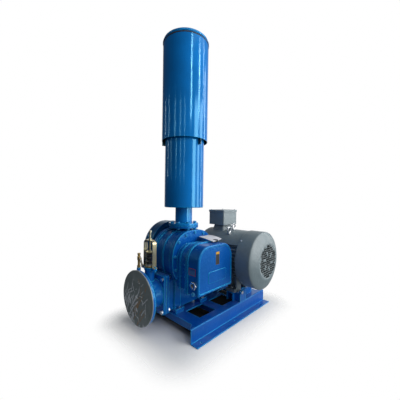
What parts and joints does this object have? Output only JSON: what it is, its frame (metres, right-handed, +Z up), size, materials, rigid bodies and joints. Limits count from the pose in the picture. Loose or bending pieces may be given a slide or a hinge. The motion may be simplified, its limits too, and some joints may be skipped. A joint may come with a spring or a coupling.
{
  "type": "roots blower package",
  "caption": "Lobed rotary blower on a folded steel base, belt-driven by an electric motor beside it, with a tall inlet silencer and a relief valve on its discharge tee.",
  "frame": {"origin": "on the floor, at the centre of the six foundation holes in the base's foot flanges", "axes": "+X along the base from the discharge flange to the motor, +Y from the gear case to the belt guard, +Z up"},
  "size_m": [1.04, 0.736, 2.04],
  "materials": {
    "blue_paint": "semi-gloss blue paint",
    "silencer_paint": "high-gloss blue paint",
    "guard_paint": "dark blue paint",
    "motor_paint": "slate grey paint",
    "cast_rotor": "machined cast iron",
    "machined_steel": "turned",
    "laminated_steel": "laminated",
    "zinc_bolts": "bright zinc",
    "yellow_zinc": "yellow zinc",
    "blue_bolts": "painted over",
    "black_steel": "black",
    "brass": "cast and turned",
    "lever_steel": "plated",
    "plug_plastic": "black",
    "drain_paint": "light blue paint",
    "clear_glass": "clear",
    "belt_rubber": "matte",
    "seal_rubber": "matte",
    "winding_copper": "varnished",
    "fan_plastic": "moulded",
    "board_plastic": "moulded",
    "filter_felt": "felt"
  },
  "bodies": {
    "package": {"base_frame": "blue_paint", "belt_guard": "guard_paint", "blower_foot_bolts": "zinc_bolts", "discharge_bolts": "zinc_bolts", "discharge_tee": "blue_paint", "drive_end_cover": "blue_paint", "eye_bolts": "blue_bolts", "fan_cover": "motor_paint", "filter_element": "filter_felt", "flange_gaskets": "seal_rubber", "gauge_cock_body": "brass", "gear_case": "blue_paint", "gear_case_bolts": "zinc_bolts", "guard_brackets": "blue_paint", "inlet_bolts": "zinc_bolts", "motor_bearings": "machined_steel", "motor_end_shields": "motor_paint", "motor_foot_bolts": "zinc_bolts", "motor_frame": "motor_paint", "motor_slide_rails": "blue_paint", "oil_drain_plug": "drain_paint", "oil_filler_plug": "plug_plastic", "relief_adjuster": "yellow_zinc", "relief_seat": "brass", "relief_spring": "black_steel", "relief_yoke": "yellow_zinc", "rotor_bearings": "machined_steel", "rotor_casing": "blue_paint", "shaft_seals": "seal_rubber", "side_plate_bolts": "zinc_bolts", "side_plate_front": "blue_paint", "side_plate_rear": "blue_paint", "sight_glass_bezel": "zinc_bolts", "sight_glass_lens": "clear_glass", "silencer_body": "silencer_paint", "silencer_hood": "silencer_paint", "silencer_lid": "silencer_paint", "stator_core": "laminated_steel", "stator_windings": "winding_copper", "tension_bracket": "blue_paint", "tension_screw": "zinc_bolts", "terminal_board": "board_plastic", "terminal_box": "motor_paint", "terminal_box_lid": "motor_paint", "terminal_lid_screws": "zinc_bolts", "v_belts": "belt_rubber", "yoke_bolts": "blue_bolts"},
    "drive_rotor_body": {"drive_rotor": "cast_rotor", "drive_shaft": "machined_steel", "drive_gear": "machined_steel", "blower_pulley": "cast_rotor"},
    "driven_rotor_body": {"driven_rotor": "cast_rotor", "driven_shaft": "machined_steel", "driven_gear": "machined_steel", "oil_slinger": "machined_steel"},
    "motor_rotor_body": {"motor_rotor": "machined_steel", "cooling_fan": "fan_plastic", "motor_pulley": "cast_rotor"},
    "relief_disc_body": {"relief_disc": "zinc_bolts"},
    "cock_lever_body": {"gauge_cock_lever": "lever_steel"}
  },
  "joints": [
    {"name": "drive_spin", "type": "hinge", "parent": "package", "child": "drive_rotor_body", "pos_m": [-0.124, 0, 0.45], "axis": [0, 1, 0], "continuous": true},
    {"name": "driven_spin", "type": "hinge", "parent": "package", "child": "driven_rotor_body", "pos_m": [-0.264, 0, 0.45], "axis": [0, 1, 0], "continuous": true},
    {"name": "motor_spin", "type": "hinge", "parent": "package", "child": "motor_rotor_body", "pos_m": [0.204, 0, 0.413], "axis": [0, 1, 0], "continuous": true},
    {"name": "relief_lift", "type": "slide", "parent": "package", "child": "relief_disc_body", "axis": [0, 0, 1], "range_m": [0, 0.006], "stiffness_N_per_m": 8000, "deforming": ["relief_spring"]},
    {"name": "cock_turn", "type": "hinge", "parent": "package", "child": "cock_lever_body", "pos_m": [-0.543, 0.111, 0.47], "axis": [0, 1, 0], "range_deg": [0, 90]}
  ],
  "couplings": [
    {"joint": "driven_spin", "follows": "drive_spin", "ratio": -1},
    {"joint": "motor_spin", "follows": "drive_spin", "ratio": 1.3333}
  ]
}
